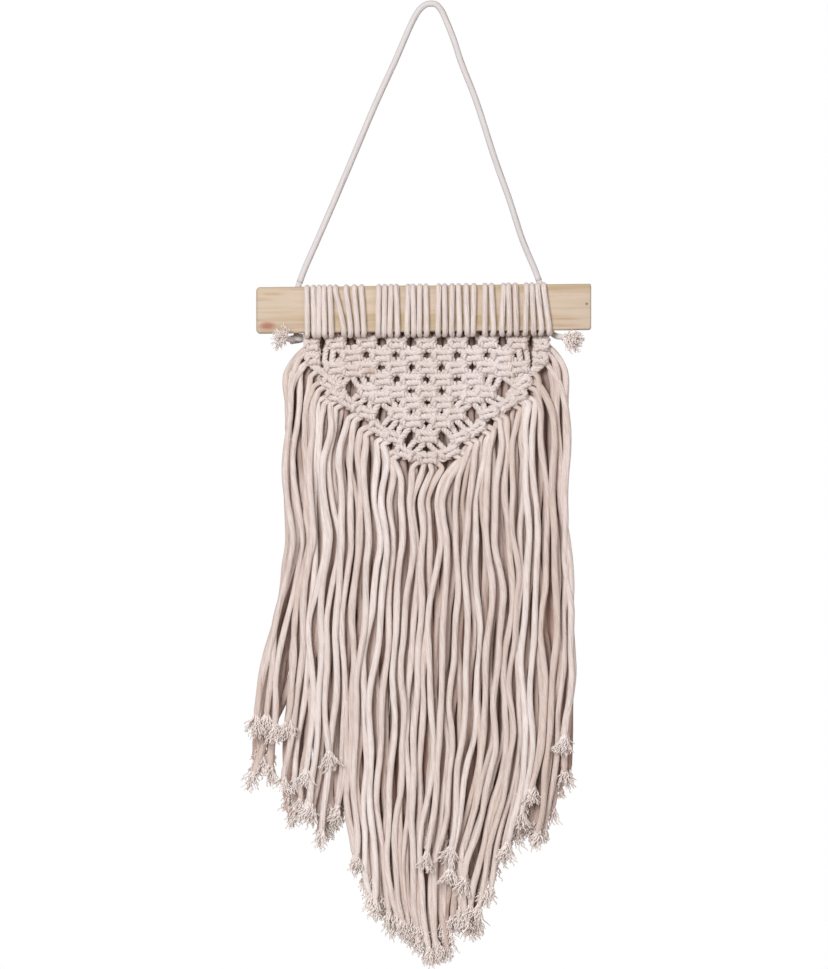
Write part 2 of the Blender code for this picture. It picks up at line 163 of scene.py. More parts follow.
# Front fringe
FRONT_Y = -1.2
FRONT_LAYERS = (-1.8, 1.3, -0.6, 2.4, 0.4)  # how far behind FRONT_Y the strands of each five hang
FRONT_SWAY = 2.3
DEEP_SWAY = 1.2
SIDE_WAVE = 150.0
DEEP_WAVE = 170.0
FRONT_SLIM = 0.95  # the front strands are drawn thinner low down, where more of them show
SLIM_LEVELS = (-480.0, -400.0)
FRONT_FULLNESS = 0.78
RADIUS_SHARE = 0.455  # a front strand's radius, as a share of the room it has
PITCH_LEVELS = (-340.0, -400.0, -480.0)
STRAIGHT_SLOTS = (15, 19)  # the strands outside these hang nearer to each other or further apart
LEFT_SPREAD = (1.2, 0.02)
RIGHT_SPREAD = (0.2, 0.018)
SHADED_FROM = 13.6  # strands this far from the middle, counted in strands, are darker
SHADE = 0.6
TURN_HEIGHT = 90.0
JOIN_HEIGHT = 21.0
EXIT_LEAN = math.radians(60)
EXIT_REACH = 5.5
EXIT_LEVELS = (3.5, 8.0, 14.0, 21.0, 30.0)
EXIT_WIDTHS = (0.82, 0.87)
FRINGE_STEP = 14.0
FRONT_YARNS = (22, 28)

# Front strands half-way between two others. They sink behind those, and come forward again low down.
FILLER_SLOTS = range(3, 31)
APEX_GAPS = (14, 18)  # the dark gap after each of these strands stays open
FILLER_DEPTHS = (4.8, 6.8)  # behind FRONT_Y at the top, and sunk
WIDE_PITCH = 6.2  # where the others are further apart than this, the fillers hang less deep
WIDE_LESS = (1.6, 1.0)
SINK_LEVELS = (-480.0, -440.0, -350.0, -315.0)
RETURNED_DEPTHS = (0.6, 2.4, 6.0)
LONG_FILLERS = (3, 31)  # between these places the fillers may reach LONG_END or lower
LONG_END = -545.0

# Back fringe, in two rows
# A row's darkest tone reaches past the front strands' range, further for the rear row: random tone plus
# painted shade.
BackRow = namedtuple("BackRow", "strands y sway radius raised darkest stray")
STRAY = (2, -26, -514)  # one near strand that turns further out: its place, aside, end z
BACK_NEAR = BackRow(30, 6.2, 2.2, 2.5, 8.0, 1.2, STRAY)
BACK_FAR = BackRow(42, 10.2, 0.4, 2.75, 14.0, 1.4, None)
BACK_YARNS = (22, 30)
BEHIND_PANEL = 1.0  # how much further back the back fringe hangs behind the panel
BEHIND_LEVELS = (-335.0, -305.0)
CARRIER_Z = -218.5  # the hidden cord that the back fringe is looped over
CARRIER_RADIUS = 1.9
CARRIER_WAY = (  # x, and how far back it is on its way from the panel to the back fringe
    (-79, 0.0), (-78, 0.5), (-74, 1.0), (-35, 1.0), (0, 1.0), (30, 1.0), (67, 1.0), (71, 0.5), (72, 0.0),
)

# The cords where they cross the batten's front: x at its middle, and how far x moves from top to bottom.
WRAPS = (
    (-82.7, 0.2), (-78.3, 0.6), (-74.8, 0.0), (-71.3, 0.4), (-67.0, 1.0), (-61.0, 5.5), (-55.3, 3.0),
    (-50.3, 2.0), (-45.7, 1.6), (-35.3, -0.6), (-31.3, -0.4), (-27.3, -0.8), (-23.0, 0.8), (-16.0, -0.6),
    (-12.1, 0.6), (-8.0, -0.4), (-3.5, 0.4), (4.5, -0.5), (8.8, 0.4), (13.5, -0.4), (18.3, 0.5),
    (23.3, 0.6), (27.9, -0.5), (35.4, 0.0), (40.5, 1.2), (47.2, -1.2), (51.5, 0.8), (56.0, 0.6),
    (62.7, -0.6), (67.2, 1.0), (71.7, 2.5), (76.3, 3.4),
)

# Knot rows: first lane, number of knots, z, and how far the two end knots sit above the row.
KNOT_ROWS = (
    (2, 7, -223.9, 0.0),
    (4, 6, -232.5, 0.0),
    (2, 7, -240.5, 0.0),
    (4, 6, -248.5, 5.8),
    (6, 5, -256.5, 0.0),
    (8, 4, -264.2, 4.2),
    (10, 3, -271.2, 0.0),
    (12, 2, -278.5, 2.3),
    (14, 1, -286.2, 0.0),
)

# The V border's knots: first lane, x, z, turn in degrees.
BORDER_KNOTS = (
    (0, -67.0, -251.5, -34), (2, -64.2, -259.5, -16), (4, -55.7, -263.6, -34),
    (6, -43.7, -270.9, -16), (8, -35.7, -281.2, -34), (10, -25.0, -287.0, -18),
    (12, -18.3, -297.0, -26), (14, -3.0, -300.9, 0), (16, 11.7, -297.0, 26),
    (18, 19.0, -287.0, 18), (20, 30.3, -281.0, 34), (22, 38.3, -270.9, 16),
    (24, 51.0, -264.2, 34), (26, 57.6, -259.5, 16), (28, 61.0, -251.5, 34),
)

# The cord that runs down beside each large hole: lane, x, z.
HOLE_SIDES = (
    (5, -59.4, -252.9), (9, -38.3, -270.2), (13, -18.2, -284.9),
    (18, 11.8, -284.9), (22, 33.5, -270.2), (26, 55.3, -252.9),
)

# More strands that fan out of each edge chain: place among the front strands, x, z.
EDGE_STRANDS = (
    (0.3, -84.0, -227.5), (0.9, -84.0, -231.0), (1.6, -83.0, -237.0), (2.9, -76.5, -243.0),
    (31.2, 66.5, -243.0), (32.3, 75.0, -237.0), (33.0, 77.0, -231.0), (33.6, 77.0, -225.5),
)
EDGE_DOWN = (0.75, -0.66)
EDGE_DEPTH = 3.4
EDGE_WIDTH = 0.94
EDGE_SHORTER = 2.0

# The two knots of each edge chain: distance from the panel's middle, z.
EDGE_KNOTS = ((76.8, -225.2), (76.2, -234.6))

# A square knot's four cords, in cord diameters: right, forward, up. Each runs down to the knot's
# middle and then mirrors itself in height.
WORKING_CORD = (
    (-1.60, 0.00, 0.66),
    (-1.20, 0.45, 0.66),
    (-0.55, 0.82, 0.52),
    (0.40, 0.90, 0.42),
    (1.10, 0.70, 0.42),
    (1.52, 0.25, 0.00),
)
PASSING_CORD = (
    (1.62, 0.10, 0.68),
    (1.36, 0.90, 0.56),
    (1.08, 0.76, 0.24),
    (0.74, -0.35, 0.12),
    (0.30, -0.90, 0.20),
    (-0.42, -0.90, 0.30),
    (-0.80, -0.20, 0.36),
    (-1.08, 0.86, 0.42),
    (-1.40, 1.22, 0.00),
)
FILLER_CORD = ((0.44, 0.30, 1.12), (0.46, 0.15, 0.80), (0.46, 0.0, 0.40))

# Where the front fringe's gaps run. Each column is the gap to the left of that strand.
FRONT_GAPS = (0, 2, 6, 9, 12, 15, 20, 25, 27, 30, 32, 34)
FRONT_FLOW = (  # z, then x at each gap
    (-282, -99, -87, -66, -50, -31, -17, 8, 39, 51, 65, 79, 92),
    (-302, -98, -89, -70, -51, -28, -16, 10, 40, 51, 65, 80, 93),
    (-329, -97, -88, -67, -48, -32, -18, 5, 36, 50, 65, 81, 92),
    (-356, -96, -85, -64, -47, -30, -16, 8, 36, 50, 64, 83, 93),
    (-382, -101, -88, -69, -50, -33, -16, 4, 38, 53, 64, 83, 94),
    (-409, -108, -94, -73, -52, -36, -19, 2, 38, 52, 63, 81, 95),
    (-449, -113, -96, -72, -54, -40, -22, 0, 37, 49, 63, 81, 96),
    (-489, -114, -97, -71, -54, -40, -23, 3, 35, 51, 64, 79, 92),
    (-529, -110, -97, -72, -55, -42, -24, 0, 27, 40, 56, 72, 86),
    (-569, -94, -83, -66, -53, -40, -26, -5, 17, 31, 46, 62, 76),
    (-609, -88, -78, -60, -48, -36, -24, -4, 15, 25, 37, 46, 56),
    (-640, -86, -76, -56, -44, -32, -20, -1, 18, 27, 39, 47, 57),
)

# The front strands' ends, left to right: z, and how far the end turns aside.
FRONT_ENDS = (
    (-477, -5), (-483, -6), (-480, -5), (-516, -6), (-511, -4), (-533, -5), (-499, 2),
    (-552, -8), (-568, -4), (-580, -2), (-585, 0), (-598, 0), (-602, 0), (-606, 1),
    (-608, 1), (-611, 2), (-615, 2), (-616, 2), (-627, 2), (-630, 2), (-566, -2),
    (-630, 2), (-563, 2), (-626, 3), (-577, -1), (-607, 4), (-583, 0), (-602, 5),
    (-598, 5), (-577, 4), (-540, 1), (-524, -2), (-552, 2), (-490, 1),
)
LAST_SLOT = len(FRONT_ENDS) - 1
AHEAD = (0, 1, 2, 4, 5, 6, 20, 22, 24, 26, 29, 30, 31, 33)  # these end in front of the others
AHEAD_Y = -4.2
AHEAD_YARNS = 42
AHEAD_SPREAD = 6.5

# The back fringe's outline: z, left x, right x.
BACK_FLOW = (
    (-219, -83, 77), (-226, -86, 81), (-234, -91, 86), (-249, -95, 89),
    (-269, -97, 90), (-289, -96, 90), (-329, -95, 90), (-356, -94, 91),
    (-382, -98, 92), (-409, -104, 93), (-449, -110, 95), (-489, -113, 93),
    (-529, -106, 87), (-569, -88, 78), (-609, -70, 60), (-640, -64, 60),
)

# How far the back strands' ends turn aside: share of the width from the left, and x.
BACK_ASIDE = ((0.0, -10), (0.07, -10), (0.15, -8), (0.3, -2), (0.6, 0), (0.8, 3), (1.0, 4))

# The lowest frayed yarn at each x.
OUTLINE = (
    (-124, -522), (-117, -521), (-109, -518), (-101, -553), (-93, -551), (-85, -545), (-77, -560),
    (-69, -562), (-61, -545), (-53, -577), (-45, -597), (-37, -612), (-29, -619), (-21, -626),
    (-13, -631), (-5, -639), (3, -641), (11, -641), (19, -618), (27, -632), (35, -616), (43, -595),
    (51, -564), (59, -564), (67, -563), (75, -560), (83, -550), (91, -526), (98, -520),
)
TUFT_REACH = 9.0

# The hanging cord's centreline from its left exit over the hook to its right exit.
HANGER_ROUTE = (  # x, y, z
    (-88.3, 4.4, -184.0),
    (-84.5, 4.2, -174.0),
    (-76.3, 3.8, -155.5),
    (-64.7, 3.2, -128.9),
    (-53.3, 2.6, -102.2),
    (-36.3, 1.8, -62.2),
    (-24.0, 1.1, -35.5),
    (-18.3, 0.8, -22.2),
    (-12.3, 0.5, -8.9),
    (-8.0, 0.3, -1.9),
    (-3.5, 0.0, 1.6),
    (0.0, 0.0, 2.1),
    (3.0, 0.0, 1.5),
    (6.3, 0.4, -1.9),
    (9.7, 0.8, -8.9),
    (15.0, 1.3, -22.2),
    (19.3, 1.8, -35.5),
    (29.7, 2.8, -62.2),
    (42.7, 4.3, -102.2),
    (52.3, 5.3, -128.9),
    (61.0, 6.3, -155.5),
    (68.8, 7.0, -174.0),
    (72.0, 7.3, -182.4),
)

# The hanging cord's ends.
LEFT_TIE_ROUTE = (
    (-88.5, 4.4, -184.5),
    (-89.5, 4.2, -188.5),
    (-90.0, 4.1, -198.0),
    (-90.0, 4.1, -213.0),
    (-90.4, 3.6, -219.5),
    (-92.5, 0.6, -221.6),
    (-95.8, -5.0, -221.5),
    (-99.3, -9.4, -220.6),
)
LEFT_KNOT_AT = (-90.2, 3.4, -221.3)
LEFT_KNOT_TURNS = 1.55
LEFT_KNOT_DROP = 2.6
LEFT_KNOT_RADII = (3.0, 2.9)
LEFT_KNOT_CORD = 1.7
RIGHT_TIE_ROUTE = (
    (72.15, 7.3, -182.8),
    (73.7, 7.1, -186.9),
    (76.4, 7.0, -196.0),
    (79.2, 7.0, -210.0),
    (80.4, 5.6, -217.0),
    (83.6, 1.6, -219.6),
    (86.5, -2.2, -220.2),
    (90.0, -4.6, -221.0),
)


def add_object(name, data):
    made = bpy.data.objects.new(name, data)
    bpy.context.scene.collection.objects.link(made)
    return made


def make_camera():
    data = bpy.data.cameras.new("camera")
    data.sensor_width = 36.0
    data.lens = data.sensor_width * CAMERA_DISTANCE / FRAME_HEIGHT
    data.clip_end = 20.0
    camera = add_object("camera", data)
    x, z = FRAME_CENTER
    camera.location = (x * MM, -CAMERA_DISTANCE * MM, z * MM)
    camera.rotation_euler = (math.pi / 2, 0.0, 0.0)
    bpy.context.scene.camera = camera


def make_light(name, place, side, power, color):
    data = bpy.data.lights.new(name, "AREA")
    data.shape = "RECTANGLE"
    data.size = data.size_y = side
    data.energy = power
    data.color = color
    lamp = add_object(name, data)
    lamp.location = place
    away = lamp.location - Vector(LIGHT_TARGET)
    lamp.rotation_euler = away.to_track_quat("Z", "Y").to_euler()


def make_world():
    """A white background around dimmer warm light, which leaves the gaps between cords dark."""
    world = bpy.data.worlds.new("studio")
    world.use_nodes = True
    n = Nodes(world)
    background = n.tree.nodes["Background"]
    seen = n.tree.nodes.new("ShaderNodeLightPath").outputs["Is Camera Ray"]
    level = n.add("ShaderNodeMapRange", **{"Value": seen, "To Min": AMBIENT})
    n.feed(background.inputs["Color"], n.mix(seen, AMBIENT_COLOR, (1.0, 1.0, 1.0)))
    n.feed(background.inputs["Strength"], level.outputs[0])
    bpy.context.scene.world = world


def make_studio():
    make_world()
    bpy.context.scene.view_settings.view_transform = "Standard"
    for light in LIGHTS:
        make_light(*light)
    bpy.ops.mesh.primitive_circle_add(
        vertices=96, radius=FLOOR_RADIUS * MM, fill_type="NGON", location=(0, 0, FLOOR_Z * MM)
    )
    floor = bpy.context.object
    floor.name = "floor"
    pale = new_material("floor_pale", 0.9)
    Nodes(pale).shader.inputs["Base Color"].default_value = (*FLOOR_COLOR, 1.0)
    floor.data.materials.append(pale)


# Materials


def new_material(name, roughness, specular=0.5):
    made = bpy.data.materials.new(name)
    made.use_nodes = True
    shader = made.node_tree.nodes["Principled BSDF"]
    shader.inputs["Roughness"].default_value = roughness
    shader.inputs["Specular IOR Level"].default_value = specular
    return made


class Nodes:
    """Short words for building the nodes of a material, or of the world."""

    def __init__(self, owner):
        self.tree = owner.node_tree
        self.shader = self.tree.nodes.get("Principled BSDF")

    def add(self, kind, **settings):
        node = self.tree.nodes.new(kind)
        for name, value in settings.items():
            if name in node.inputs:
                self.feed(node.inputs[name], value)
            else:
                setattr(node, name, value)
        return node

    def feed(self, socket, value):
        if isinstance(value, bpy.types.NodeSocket):
            self.tree.links.new(value, socket)
        elif socket.type == "RGBA":
            socket.default_value = (*value, 1.0)
        else:
            socket.default_value = value

    def math(self, operation, *values):
        node = self.add("ShaderNodeMath", operation=operation)
        for socket, value in zip(node.inputs, values):
            self.feed(socket, value)
        return node.outputs[0]

    def noise(self, vector, scale, detail=3.0, roughness=0.5):
        node = self.add("ShaderNodeTexNoise", Vector=vector, Scale=scale, Detail=detail, Roughness=roughness)
        return node.outputs["Fac"]

    def vector(self, operation, first, second=(0.0, 0.0, 0.0)):
        node = self.add("ShaderNodeVectorMath", operation=operation)
        self.feed(node.inputs[0], first)
        self.feed(node.inputs[1], second)
        return node.outputs["Value" if operation == "LENGTH" else "Vector"]

    def stretch(self, vector, x, y, z):
        return self.vector("MULTIPLY", vector, (x, y, z))

    def far(self, place, center, scale):
        """How far each place is from a centre in millimetres, with every axis scaled."""
        away = self.vector("SUBTRACT", place, [part * MM for part in center])
        return self.vector("LENGTH", self.stretch(away, *scale))

    def mix(self, share, first, second):
        node = self.add("ShaderNodeMix", data_type="RGBA", Factor=share)
        self.feed(node.inputs[6], first)
        self.feed(node.inputs[7], second)
        return node.outputs[2]

    def ramp(self, value, low, high):
        ends = {"From Min": low, "From Max": high}
        return self.add("ShaderNodeMapRange", Value=value, **ends).outputs[0]

    def bump(self, height, strength, distance, under=None):
        node = self.add("ShaderNodeBump", Height=height, Strength=strength, Distance=distance)
        if under is not None:
            self.feed(node.inputs["Normal"], under)
        return node.outputs[0]


def cotton(name, colors, relief=1.0, shade_colors=None):
    """Soft cotton cord. Its map runs round the cord (0 to 1) and along it (metres).

    The last argument holds the two colours of painted shade on the side that faces the front fringe from
    behind."""
    made = new_material(name, 0.9, 0.15)
    n = Nodes(made)
    place = n.tree.nodes.new("ShaderNodeTexCoord")
    tone = n.add("ShaderNodeAttribute", attribute_name="tone").outputs["Fac"]
    parts = n.add("ShaderNodeSeparateXYZ", Vector=place.outputs["UV"])
    along = parts.outputs["Y"]
    turned = n.math("ADD", parts.outputs["X"], n.math("MULTIPLY", along, 1 / (TWIST_PITCH * MM)))
    around = n.math("MULTIPLY", turned, math.tau)
    # The map's two sides meet without a seam because the noise is read round a circle.
    ring = n.add(
        "ShaderNodeCombineXYZ",
        X=n.math("MULTIPLY", n.math("COSINE", around), 1.5),
        Y=n.math("MULTIPLY", n.math("SINE", around), 1.5),
        Z=n.math("ADD", n.math("MULTIPLY", along, 55.0), n.math("MULTIPLY", tone, 37.0)),
    ).outputs[0]
    fibres = n.noise(ring, 1.6, 4.0, 0.65)
    plies = n.noise(ring, 0.75, 2.0, 0.5)
    patches = n.noise(n.stretch(place.outputs["Object"], 30.0, 30.0, 14.0), 1.0, 3.0, 0.55)
    strands = n.math("MULTIPLY", around, BRAID_STRANDS)
    spiral = n.math("MULTIPLY", along, math.tau / (BRAID_PITCH * MM))
    braid = n.math(
        "MULTIPLY",
        n.math("SINE", n.math("ADD", strands, spiral)),
        n.math("SINE", n.math("SUBTRACT", strands, spiral)),
    )
    share = n.math("MULTIPLY", tone, 0.5)
    share = n.math("ADD", share, n.math("MULTIPLY", n.ramp(patches, 0.36, 0.68), 0.2))
    share = n.math("ADD", share, n.math("MULTIPLY", n.ramp(fibres, 0.45, 0.64), 0.45))
    color = n.mix(share, *colors)
    # painted shade on the back cords' forward side
    if shade_colors:
        color = add_painted_shade(n, place.outputs["Object"], share, color, shade_colors)
    n.feed(n.shader.inputs["Base Color"], color)
    if relief:
        soft = n.bump(braid, 0.3 * relief, 0.0002)
        broad = n.bump(plies, 0.8 * relief, 0.0013, soft)
        n.feed(n.shader.inputs["Normal"], n.bump(fibres, 0.75 * relief, 0.0008, broad))
    n.shader.inputs["Sheen Weight"].default_value = 0.2
    n.shader.inputs["Sheen Roughness"].default_value = 0.5
    return made


def add_painted_shade(n, place, share, color, shade_colors):
    """A back cord's colour with painted shade: darker on its forward side, and painted brown shade there
    behind the panel.
    """
    height = n.add("ShaderNodeSeparateXYZ", Vector=place).outputs["Z"]
    normal = n.tree.nodes.new("ShaderNodeNewGeometry").outputs["Normal"]
    facing = n.add("ShaderNodeSeparateXYZ", Vector=normal).outputs["Y"]
    # painted shade: the forward-facing side is mixed towards the darker colours
    forward = n.ramp(facing, 0.35, -0.15)
    color = n.mix(forward, color, n.mix(share, *shade_colors))
    low, high = HOLE_LEVELS
    # painted shade: brown on the forward side behind the panel, seen through its holes
    hole_shade = n.math("MULTIPLY", n.ramp(height, low * MM, high * MM), forward)
    return n.mix(hole_shade, color, HOLE_PAINTED_SHADE)


def pine(name):
    """Pale sawn pine: fine grain along X, a few yellower bands and a reddish stain."""
    made = new_material(name, 0.72, 0.3)
    n = Nodes(made)
    place = n.tree.nodes.new("ShaderNodeTexCoord").outputs["Object"]
    wander = n.noise(n.stretch(place, 9.0, 30.0, 30.0), 1.0, 2.0)
    shift = n.add("ShaderNodeCombineXYZ", Z=n.math("MULTIPLY", wander, 0.006))
    bent = n.vector("ADD", place, shift.outputs[0])
    grain = n.noise(n.stretch(bent, 16.0, 300.0, 520.0), 1.0, 6.0, 0.66)
    bands = n.noise(n.stretch(bent, 5.0, 60.0, 120.0), 1.0, 2.0, 0.5)
    pores = n.noise(n.stretch(place, 120.0, 900.0, 1500.0), 1.0, 3.0, 0.6)
    color = n.mix(n.ramp(bands, 0.40, 0.68), PINE_PALE, PINE_YELLOW)
    color = n.mix(n.math("MULTIPLY", n.ramp(grain, 0.48, 0.72), 0.7), color, PINE_GRAIN)
    for center, reach, tint, strength in WOOD_MARKS:
        far = n.far(place, center, [1 / (part * MM) for part in reach])
        ragged = n.math("MULTIPLY", n.math("SUBTRACT", bands, 0.5), 1.3)
        mark = n.math("SUBTRACT", 1.0, n.ramp(n.math("ADD", far, ragged), 0.35, 1.1))
        color = n.mix(n.math("MULTIPLY", mark, strength), color, tint)
    n.feed(n.shader.inputs["Base Color"], color)
    n.feed(n.shader.inputs["Normal"], n.bump(grain, 0.35, 0.0004, n.bump(pores, 0.25, 0.0002)))
    return made


def add_stain(material):
    """A small tan stain on the knots left of the middle."""
    n = Nodes(material)
    place = n.tree.nodes.new("ShaderNodeTexCoord").outputs["Object"]
    far = n.far(place, STAIN_AT, (1.0, 0.3, 1.15))
    share = n.ramp(far, STAIN_REACH[0] * MM, STAIN_REACH[1] * MM)
    color = n.shader.inputs["Base Color"]
    n.feed(color, n.mix(n.math("MULTIPLY", share, 0.6), color.links[0].from_socket, STAIN_TAN))


# Cords as tubes


def smooth(rows, longest=3.6, fewest=3):
    """Rows of x, y, z, radius on a centripetal spline through the given rows."""
    p = np.array(rows, float)
    p = np.vstack([2 * p[0] - p[1], p, 2 * p[-1] - p[-2]])
    gaps = np.maximum(np.linalg.norm(np.diff(p[:, :3], axis=0), axis=1), 1e-4) ** 0.5
    pieces = []
    for k in range(1, len(p) - 2):
        count = max(fewest, math.ceil(gaps[k] ** 2 / longest))
        t0 = 0.0
        t1 = gaps[k - 1]
        t2 = t1 + gaps[k]
        t3 = t2 + gaps[k + 1]
        t = (t1 + (t2 - t1) * np.arange(count) / count)[:, None]
        a1 = ((t1 - t) * p[k - 1] + (t - t0) * p[k]) / (t1 - t0)
        a2 = ((t2 - t) * p[k] + (t - t1) * p[k + 1]) / (t2 - t1)
        a3 = ((t3 - t) * p[k + 1] + (t - t2) * p[k + 2]) / (t3 - t2)
        b1 = ((t2 - t) * a1 + (t - t0) * a2) / (t2 - t0)
        b2 = ((t3 - t) * a2 + (t - t1) * a3) / (t3 - t1)
        pieces.append(((t2 - t) * b1 + (t - t1) * b2) / (t2 - t1))
    pieces.append(p[-2:-1])
    return np.vstack(pieces)


def frames(path):
    """The side and front directions at each point, with no sudden turn between them."""
    tangent = np.gradient(path, axis=0)
    tangent /= np.linalg.norm(tangent, axis=1)[:, None]
    side = np.empty_like(path)
    guess = np.array((1.0, 0.0, 0.0) if abs(tangent[0][0]) < 0.9 else (0.0, 1.0, 0.0))
    for k, t in enumerate(tangent):
        guess = guess - t * (guess @ t)
        guess = guess / math.sqrt(guess @ guess)
        side[k] = guess
    return side, np.cross(tangent, side)


def length_along(path):
    """How long the path is up to each of its points."""
    return np.concatenate([[0], np.cumsum(np.linalg.norm(np.diff(path, axis=0), axis=1))])


class Bundle:
    """Tubes gathered into one mesh, with a map round and along each cord and a tone for each."""

    def __init__(self):
        self.points = []
        self.faces = []
        self.maps = []
        self.tones = []
        self.count = 0

    def tube(self, rows, sides, tone, fullness=1.0):
        """Fullness below 1 fills out the corners of a cord that lies flat against its neighbours."""
        path, radius = rows[:, :3], rows[:, 3]
        side, front = frames(path)
        turns = np.arange(sides) * math.tau / sides + (math.pi / sides if fullness < 1 else 0.0)
        across = np.sign(np.cos(turns)) * np.abs(np.cos(turns)) ** fullness
        deep = np.sign(np.sin(turns)) * np.abs(np.sin(turns)) ** fullness
        round_side = across[None, :, None] * side[:, None, :]
        round_front = deep[None, :, None] * front[:, None, :]
        points = path[:, None, :] + radius[:, None, None] * (round_side + round_front)
        self.points.append(points.reshape(-1, 3) * MM)
        along = length_along(path) * MM
        ring = np.arange(len(path) - 1)[:, None] * sides
        corner = np.arange(sides)[None, :]
        turn = (corner + 1) % sides
        quads = np.stack([ring + corner, ring + turn, ring + sides + turn, ring + sides + corner], -1)
        quads = quads.reshape(-1, 4) + self.count
        left, start, end = np.broadcast_arrays(corner / sides, along[:-1, None], along[1:, None])
        right = left + 1.0 / sides
        quad_maps = np.stack([left, start, right, start, right, end, left, end], -1)
        first = list(range(self.count, self.count + sides))[::-1]
        last_ring = self.count + (len(path) - 1) * sides
        last = list(range(last_ring, last_ring + sides))
        self.faces += quads.tolist() + [first, last]
        self.maps.append(quad_maps.reshape(-1, 2))
        for cap in (along[0], along[-1]):
            self.maps.append(np.repeat([[0.5, cap]], sides, axis=0))
        self.tones.append(np.full(len(path) * sides, tone))
        self.count += len(path) * sides

    def twist(self, rows, tone):
        """A cord pressed so hard in its knots that its strands show."""
        path, radius = rows[:, :3], rows[:, 3]
        side, front = frames(path)
        along = length_along(path)
        for ply in range(PLIES):
            turn = (math.tau * (ply / PLIES + along / PLY_PITCH))[:, None]
            away = (np.cos(turn) * side + np.sin(turn) * front) * radius[:, None] * PLY_AWAY
            self.tube(np.column_stack([path + away, radius * PLY_SIZE]), PLY_SIDES, tone + PLY_TONE * ply)

    def build(self, name, material, slot, node):
        mesh = bpy.data.meshes.new(name)
        mesh.from_pydata(np.vstack(self.points).tolist(), [], self.faces)
        layer = mesh.uv_layers.new(name="cord")
        layer.data.foreach_set("uv", np.vstack(self.maps).astype(np.float32).ravel())
        tones = mesh.attributes.new("tone", "FLOAT", "POINT")
        tones.data.foreach_set("value", np.concatenate(self.tones).astype(np.float32))
        mesh.shade_smooth()
        return add_piece(name, mesh, material, node)


def add_piece(name, mesh, material, node):
    """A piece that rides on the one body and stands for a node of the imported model."""
    mesh.materials.append(material)
    piece = add_object(name, mesh)
    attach(piece, BODY)
    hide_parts(node)
    return piece


class Sway:
    """A smooth wander with height, the same each run for the same seed."""

    def __init__(self, rng, amount, longest):
        self.waves = [
            (amount * share, longest * length * rng.uniform(0.8, 1.25), rng.uniform(0, math.tau))
            for share, length in ((0.7, 1.0), (0.35, 0.42))
        ]

    def __call__(self, z):
        return sum(size * math.sin(math.tau * z / length + turn) for size, length, turn in self.waves)


# Ways of the cords


def batten_z(x, share):
    return BATTEN_Z + share * BATTEN_HEIGHT / 2 + (x - BATTEN_X) * BATTEN_SLOPE


def lane_x(lane):
    return PANEL_X + (lane - (LANES - 1) / 2) * LANE_PITCH


# A square knot: the leftmost of its four lanes, its place and turn in degrees, one cord's diameter
# in it, whether it is tied the other way round, how wide it is, and how many of FILLER_CORD's upper
# points it leaves out.
Knot = namedtuple("Knot", "first x z turn unit flipped squeeze short")


def knot_rows(role, knot):
    """The way of one of a square knot's four cords. Roles run from 0, left, to 3, right."""
    side = -1 if knot.flipped else 1
    role = 3 - role if knot.flipped else role
    if role == 0:
        half = WORKING_CORD
    elif role == 3:
        half = PASSING_CORD
    else:
        sign = 1 if role == 2 else -1
        half = [(sign * right, forward, up) for right, forward, up in FILLER_CORD[knot.short :]]
    mirrored = [(right, forward, -up) for right, forward, up in half[::-1] if up]
    cos, sin = math.cos(math.radians(knot.turn)), math.sin(math.radians(knot.turn))
    radius = KNOT_RADIUS * knot.unit / KNOT_UNIT
    rows = []
    for right, forward, up in (*half, *mirrored):
        across = side * right * knot.unit * knot.squeeze
        x = knot.x + across * cos - up * knot.unit * sin
        y = PANEL_Y - forward * knot.unit * KNOT_FLATTEN
        z = knot.z + across * sin + up * knot.unit * cos
        rows.append((x, y, z, radius))
    return rows


def all_knots():
    """Every square knot of the rows and of the V border."""
    knots = []
    off_x, off_z, off_turn = KNOT_OFF
    for row, (first, count, z, rise) in enumerate(KNOT_ROWS):
        for k in range(count):
            lane = first + 4 * k
            at_end = k in (0, count - 1)
            wobble = math.sin(2.3 * row + 1.7 * k)
            x = lane_x(lane + 1.5) + off_x * wobble
            squeeze = TOP_SQUEEZE if row == 0 else KNOT_SQUEEZE
            if row in TUCKED_ROWS and at_end:
                squeeze = TUCKED_SQUEEZE
                x += TUCKED_SHIFT if k == 0 else -TUCKED_SHIFT
            turn = off_turn * math.sin(1.3 * row + 2.9 * k)
            height = z + at_end * rise + off_z * wobble
            knots.append(Knot(lane, x, height, turn, KNOT_UNIT, False, squeeze, 0))
    for first, x, z, turn in BORDER_KNOTS:
        knots.append(Knot(first, x, z, turn, BORDER_UNIT, first > LANES / 2, 1.0, 1))
    return knots


def edge_knots(right):
    """The two knots of the left or the right edge chain."""
    sign = 1 if right else -1
    return [Knot(0, PANEL_X + sign * out, z, 0.0, KNOT_UNIT, right, EDGE_SQUEEZE, 1) for out, z in EDGE_KNOTS]


